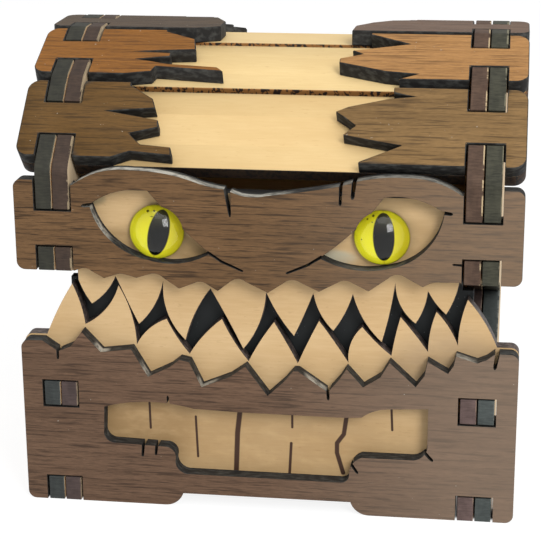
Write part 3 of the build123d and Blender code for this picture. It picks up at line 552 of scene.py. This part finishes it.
def dress(node, material, arris=ARRIS):
    """A copy of the node's mesh, merged and bevelled, that stands for it."""
    mesh = frame["nodes"][node].data.copy()
    work = bmesh.new()
    work.from_mesh(mesh)
    bmesh.ops.remove_doubles(work, verts=work.verts, dist=MERGE)
    bmesh.ops.dissolve_limit(work, angle_limit=FLAT, verts=work.verts, edges=work.edges)
    work.to_mesh(mesh)
    work.free()
    piece = shown(node + "_cut", mesh)
    bevel = piece.modifiers.new("arris", "BEVEL")
    bevel.width = arris
    bevel.limit_method = "ANGLE"
    bevel.angle_limit = CORNER
    stand_for(piece, node, material)
    return piece


def dressed():
    """How many pieces stand in for CAD nodes so far."""
    return sum(thing.name.endswith("_cut") for thing in bpy.data.objects)


# %% Fronts and teeth
dress("lower_jaw_front", jaw_walnut)
dress("upper_jaw_front", brow_walnut)
dress("lower_teeth_sheet", teeth_low, FINE_ARRIS)
dress("upper_teeth_sheet", teeth_high, FINE_ARRIS)
print("dressed:", dressed())

# %% [markdown]
# ## Walls that lean out
# Thin board is never quite flat. At the right end of the mouth the outer wall's pale face
# shows beside its dark edge, so it leans out towards the back. A bend modifier would move the
# tabs too; moving the points of the outer face alone leaves the front end where it is.

# %% Back and side walls
LEAN = 0.55 * MM
FACE_DEPTH = 0.01 * MM                      # points this close to the outermost are its face


def lean_out(piece, way):
    """Lets a wall's outer face lean out: x += LEAN * (y - front) / length, on that face alone."""
    mesh = piece.data
    points = np.empty(len(mesh.vertices) * 3)
    mesh.vertices.foreach_get("co", points)
    points = points.reshape(-1, 3)
    outward = points[:, 0] * way
    outside = outward > outward.max() - FACE_DEPTH
    share = (points[:, 1] - FRONT_Y) / (points[:, 1].max() - FRONT_Y)
    points[:, 0] += np.where(outside, way * LEAN * share, 0.0)
    mesh.vertices.foreach_set("co", points.ravel())
    mesh.update()
    print(piece.name, "leans out by", round(LEAN / MM, 2), "mm")


for part in ("base", "lid"):
    dress(part + "_back_outer", jaw_walnut)
    dress(part + "_back_inner", plain_maple(part + "_back_maple", DEEP))
    for side, way in (("left", -1), ("right", 1)):
        outer, inner = (part + "_side_" + layer + "_" + side for layer in ("outer", "inner"))
        wall = dress(outer, wall_ply(outer + "_edge", outer, *OUTER_EDGE[part]), FINE_ARRIS)
        dress(inner, wall_ply(inner + "_edge", inner, *INNER_EDGE[part]), FINE_ARRIS)
        lean_out(wall, way)

# %% Slats, planks, floor and mouth
for letter in LID_SLOPES:
    dress("lid_slat_" + letter, slat_maple[letter], FINE_ARRIS)
    for side in ("left", "right"):
        dress("lid_plank_" + letter + "_" + side, plank_walnut[letter + "_" + side])
dress("base_floor", plain_maple("floor_maple", UP), FINE_ARRIS)
dress("mouth_backing", black_card(), FINE_ARRIS)
print("dressed:", dressed())

# %% [markdown]
# ## Brass hinges
# Small butt hinges are stamped from brass sheet and brushed. Brushing could be modelled as
# grooves; noise that is fine across the leaf does it in the bump, and slow clouds of it make
# the brown tarnish.

# %% Hinges
BRASS, TARNISH = srgb(206, 166, 92), srgb(142, 104, 54)
BRASS_ARRIS = 0.06 * MM


def brass():
    """Stamped brass: fine brushing across the leaf, and brown tarnish in soft clouds."""
    f = Finish("hinge_brass")
    brushed = f.noise((6.0, 0.4, 0.4), 2).step(0.3, 0.7)
    tarnish = f.noise((0.35, 0.35, 0.35), 4).step(0.45, 0.75)
    colour = f.mix(tarnish * 0.6, BRASS, TARNISH)
    return f.surface(colour, roughness=0.30 + tarnish * 0.2 + brushed * 0.08,
                     height=brushed, strength=0.08, Metallic=1.0)


hinge_brass = brass()
for node in body_of:
    if node.startswith("hinge_"):
        dress(node, hinge_brass, BRASS_ARRIS)
print("dressed:", dressed())

# %% [markdown]
# ## Glass cat's eyes
# Each eye is a flat-backed glass dome over a printed disc. The print could be an image; it is
# sums on the distance from the eye's middle, so it stays sharp: lemon yellow, an almond pupil
# that leans, an olive rim and a few flecks.

# %% The printed disc
ROUND_STEPS = 96                            # points round a disc or a dome
EYE_SHIFT = (-0.30, -0.42)                  # x and z, in millimetres: eyes sit off their seats
EYE_GROWN = 1.03                            # and are this much wider than them
PUPIL_WIDE, PUPIL_TALL = 3.3, 8.1           # millimetres, before the dome magnifies them
PUPIL_EDGE = 0.08                           # half the softness of its outline
# Off centre in x and z, in millimetres, and lean in degrees.
PUPILS = {"left": (0.38, 0.0, 13.0), "right": (0.28, 0.28, -1.5)}
# Flecks of missing print: x and z off centre, reach across and up.
FLECKS = {"left": [(-1.45, 3.55, 0.26, 0.26), (-0.35, 3.6, 0.18, 0.20), (-0.75, 2.5, 0.24, 0.10)],
          "right": [(-2.45, 3.1, 0.18, 0.20), (-1.5, 3.7, 0.22, 0.26), (-1.6, 2.5, 0.14, 0.10),
                    (0.2, 4.05, 0.55, 0.22), (-3.2, -0.4, 0.10, 0.12)]}
LEMON, LEMON_LIT, LEMON_RIGHT = srgb(232, 222, 34), srgb(255, 250, 48), srgb(212, 192, 54)
LEMON_TOP, LEMON_RIM, FLECK = srgb(184, 178, 50), srgb(112, 108, 18), srgb(44, 42, 18)
PUPIL_LOW, PUPIL_HIGH = srgb(8, 9, 8), srgb(62, 60, 40)


def eye_frame(node):
    """Where a round eye piece is shown: centre and radius, in millimetres."""
    low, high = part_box(node)
    centre = (low + high) / 2 / MM
    return centre.x + EYE_SHIFT[0], centre.z + EYE_SHIFT[1], (high.x - low.x) / 2 / MM * EYE_GROWN


def iris(side):
    """Lemon disc: a leaning slit pupil, a few dark flecks near its top and an olive rim.

    The pupil is an ellipse: half its width at a height is sqrt(1 - share * share), where
    share is that height over half the pupil's.
    """
    middle_x, middle_z, radius = eye_frame("eye_iris_" + side)
    off_x, off_z, lean = PUPILS[side]
    lean = math.radians(lean)
    f = Finish("iris_" + side)
    right, up = f.x - middle_x, f.z - middle_z
    slit_right, slit_up = right - off_x, up - off_z
    across = slit_right * math.cos(lean) - slit_up * math.sin(lean)
    along = slit_right * math.sin(lean) + slit_up * math.cos(lean)
    share = (along / (PUPIL_TALL / 2)).most(-1.0).least(1.0)
    half = (1 - share * share) ** 0.5 * (PUPIL_WIDE / 2)
    pupil = (abs(across) - half).step(PUPIL_EDGE, -PUPIL_EDGE)
    out = (right * right + up * up) ** 0.5
    glow = (right * 0.6 + up * 0.8).step(1.5, -4.0)
    lemon = f.mix(glow, LEMON, LEMON_LIT)
    lemon = f.mix(right.step(0.5, 4.6) * 0.55, lemon, LEMON_RIGHT)
    lemon = f.mix(up.step(1.0, 4.8) * 0.35, lemon, LEMON_TOP)
    lemon = f.mix(out.step(radius * 0.88, radius * 0.99), lemon, LEMON_RIM)
    for x, z, wide, high in FLECKS[side]:
        part_x, part_z = (right - x) / wide, (up - z) / high
        lemon = f.mix((part_x * part_x + part_z * part_z).step(1.3, 0.6) * 0.9, lemon, FLECK)
    black = f.mix(slit_up.step(0.0, 3.2), PUPIL_LOW, PUPIL_HIGH)
    return f.surface(f.mix(pupil, lemon, black), roughness=0.6, Specular_IOR_Level=0.0)


def disc(side):
    """The printed face: a flat ring of points at r = radius, just behind the glass."""
    middle_x, middle_z, radius = (part * MM for part in eye_frame("eye_iris_" + side))
    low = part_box("eye_iris_" + side)[0]
    turn = np.linspace(0, 2 * np.pi, ROUND_STEPS, endpoint=False)
    points = np.stack([middle_x + radius * np.cos(turn), np.full(ROUND_STEPS, low.y),
                       middle_z + radius * np.sin(turn)], axis=-1)
    mesh = bpy.data.meshes.new("disc_" + side)
    mesh.from_pydata(points.tolist(), [], [list(range(ROUND_STEPS))])
    return shown("eye_disc_" + side, mesh)


# %% [markdown]
# ## Glass domes
# A cabochon is a drop of glass, ground flat at the back. A ball cut by a boolean would leave
# long thin faces at the rim. The dome is made as a surface of two parameters instead, smooth
# enough to bend the pupil and to carry a window's reflection.

# %% The glass dome
DOME_RINGS = 28
DOME_RIM = 0.5 * MM                         # straight part of the dome, above the disc
POLE_ANGLE = 0.02                           # radians from the pole to the dome's first ring
RIM_CREASE = math.radians(50)
GLASS_BLUR, GLASS_IOR = 0.11, 1.45


def dome(side):
    """Cabochon: x = r cos a, z = r sin a, and y runs out from the flat back.

    Going out from the pole, depth follows a ball's cap, sqrt(R*R - r*r), then drops down the
    straight rim to the disc. The flat back stays open, because the disc is glued to it: with
    no air between them, the only reflection is the one on the dome.
    """
    low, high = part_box("eye_glass_" + side)
    middle_x, middle_z, radius = (part * MM for part in eye_frame("eye_glass_" + side))
    tall = high.y - low.y
    cap = tall - DOME_RIM
    ball = (cap * cap + radius * radius) / (2 * cap)
    turn = np.linspace(0, 2 * np.pi, ROUND_STEPS, endpoint=False)
    r_cap = radius * np.sin(np.linspace(POLE_ANGLE, np.pi / 2, DOME_RINGS))
    out_cap = tall - ball + np.sqrt(ball ** 2 - r_cap ** 2)
    r = np.concatenate([r_cap, [radius, radius]])
    out = np.concatenate([out_cap, [DOME_RIM / 2, 0.0]])
    grid_r, grid_a = np.meshgrid(r, turn, indexing="ij")
    grid_out = np.repeat(out[:, None], ROUND_STEPS, axis=1)
    points = np.stack([middle_x + grid_r * np.cos(grid_a), high.y - grid_out,
                       middle_z + grid_r * np.sin(grid_a)], axis=-1).reshape(-1, 3)
    index = np.arange(grid_r.size).reshape(grid_r.shape)
    quads = np.stack([index[:-1], index[1:], np.roll(index[1:], -1, 1), np.roll(index[:-1], -1, 1)],
                     axis=-1).reshape(-1, 4)
    mesh = bpy.data.meshes.new("dome_" + side)
    mesh.from_pydata(points.tolist(), [], quads.tolist() + [index[0].tolist()])
    work = bmesh.new()
    work.from_mesh(mesh)
    bmesh.ops.recalc_face_normals(work, faces=work.faces)
    work.to_mesh(mesh)
    work.free()
    mesh.shade_smooth()
    mesh.set_sharp_from_angle(angle=RIM_CREASE)
    return shown("eye_dome_" + side, mesh)


def clear_glass():
    """Glass with a touch of roughness, so that the window's reflection has a soft edge."""
    f = Finish("clear_glass")
    return f.surface(WHITE, roughness=GLASS_BLUR, Transmission_Weight=1.0, IOR=GLASS_IOR)


glass = clear_glass()
for side in ("left", "right"):
    for piece, node, finish in ((disc(side), "eye_iris_" + side, iris(side)),
                                (dome(side), "eye_glass_" + side, glass)):
        stand_for(piece, node, finish)
        print(piece.name, len(piece.data.polygons), "faces")

# %% [markdown]
# ## Table and light
# The photograph is a cut-out on white, lit softly from above. A bright floor would tint the
# wood, so the floor and the world look white only to the camera, in reflections and through
# glass. The floor keeps its shadow under the walls, where it shows between the tabs. One wide
# lamp could light it all; a second, small one at the right gives the eyes their bright spot.

# %% Floor and world
FLOOR_REACH = 6.0                           # metres each way
FLOOR_GREY = (0.80, 0.80, 0.80, 1.0)
FLOOR_WHITE, FLOOR_SHARE = 1.2, 0.72        # strength of its white, and how much of it shows
# Millimetres from the middle where its shade sets in and ends, to the sides and along y.
SHADE_X = (35.0, 36.5), (45.2, 44.4)
SHADE_Y = (-39.5, -38.0), (38.0, 36.5)
WORLD_LIGHT = 0.50                          # strength on rays that light


def stage_floor():
    """A wide floor: a plain pale diffuse sheet, mixed with white where the camera looks."""
    mesh = bpy.data.meshes.new("floor")
    corners = [(x * FLOOR_REACH, y * FLOOR_REACH, 0)
               for x, y in ((-1, -1), (1, -1), (1, 1), (-1, 1))]
    mesh.from_pydata(corners, [], [(0, 1, 2, 3)])
    f = Finish("floor_white")
    diffuse = f.node("BsdfDiffuse", {}, {"Color": FLOOR_GREY})
    white = f.node("Emission", {}, {"Color": WHITE, "Strength": FLOOR_WHITE})
    shade = abs(f.x).step(*SHADE_X[0]) * abs(f.x).step(*SHADE_X[1])
    shade = shade * f.y.step(*SHADE_Y[0]) * f.y.step(*SHADE_Y[1])
    share = f.watched() * FLOOR_SHARE * (1 - shade)
    f.end_in("Material", f.node("MixShader", {}, {0: share, 1: diffuse, 2: white}))
    mesh.materials.append(f.material)
    shown("floor", mesh)


def stage_world():
    """Even grey light, but white to the camera, in reflections and through glass."""
    world = bpy.data.worlds.new("studio")
    bpy.context.scene.world = world
    world.use_nodes = True
    nodes = Nodes(world.node_tree)
    strength = nodes.watched() * (1 - WORLD_LIGHT) + WORLD_LIGHT
    nodes.end_in("World", nodes.node("Background", {}, {"Color": WHITE, "Strength": strength}))


def soft_box(name, at, aim, wide, high, watts):
    """A rectangular studio light at a place, turned to shine on another. All in metres."""
    data = bpy.data.lights.new(name, "AREA")
    data.shape, data.size, data.size_y, data.energy = "RECTANGLE", wide, high, watts
    lamp = shown(name, data)
    lamp.location = at
    lamp.rotation_euler = (Vector(at) - Vector(aim)).to_track_quat("Z", "Y").to_euler()
    print(name, watts, "W")


stage_floor()
stage_world()
soft_box("window_above", at=(0.10, -0.25, 0.75), aim=(0.0, 0.0, 0.04),
         wide=0.7, high=0.6, watts=1.7)
soft_box("window_right", at=(0.36, -0.60, 0.46), aim=(0.0, -0.04, 0.05),
         wide=0.26, high=0.38, watts=3.4)

# %% [markdown]
# ## The camera of the photograph
# A camera could be moved by eye until the picture fits. Here its focal length, place and turn
# come from a solve on the chest's straight edges, so that every size seen can be compared.

# %% The camera
PHOTO_WIDTH = 541                                        # pixels
FOCAL_PX = 1692.0                                        # solved focal length, in pixels
SENSOR = 36.0                                            # millimetres
NEAR, FAR = 0.01, 50.0                                   # metres
PITCH, YAW, ROLL = (math.radians(a) for a in (17.48, 8.07, 0.39))
SEEN_FROM = Vector((42.8 * MM, FRONT_Y - 293.9 * MM, 142.0 * MM))


def stage_camera():
    """Right, up and back columns of Rz(yaw) Rx(-pitch) Ry(roll), for a view along +Y."""
    turn = Matrix.Rotation(YAW, 3, "Z") @ Matrix.Rotation(-PITCH, 3, "X")
    turn = turn @ Matrix.Rotation(ROLL, 3, "Y")
    right, ahead, up = turn.col[0], turn.col[1], turn.col[2]
    pose = Matrix((right, up, -ahead)).transposed().to_4x4()
    data = bpy.data.cameras.new("photo_camera")
    data.sensor_width, data.sensor_fit = SENSOR, "HORIZONTAL"
    data.lens = FOCAL_PX / PHOTO_WIDTH * SENSOR
    data.clip_start, data.clip_end = NEAR, FAR
    camera = shown("photo_camera", data)
    camera.matrix_world = Matrix.Translation(SEEN_FROM) @ pose
    bpy.context.scene.camera = camera
    print("lens", round(data.lens, 1), "mm")


stage_camera()
bpy.context.scene.view_settings.view_transform = "Standard"
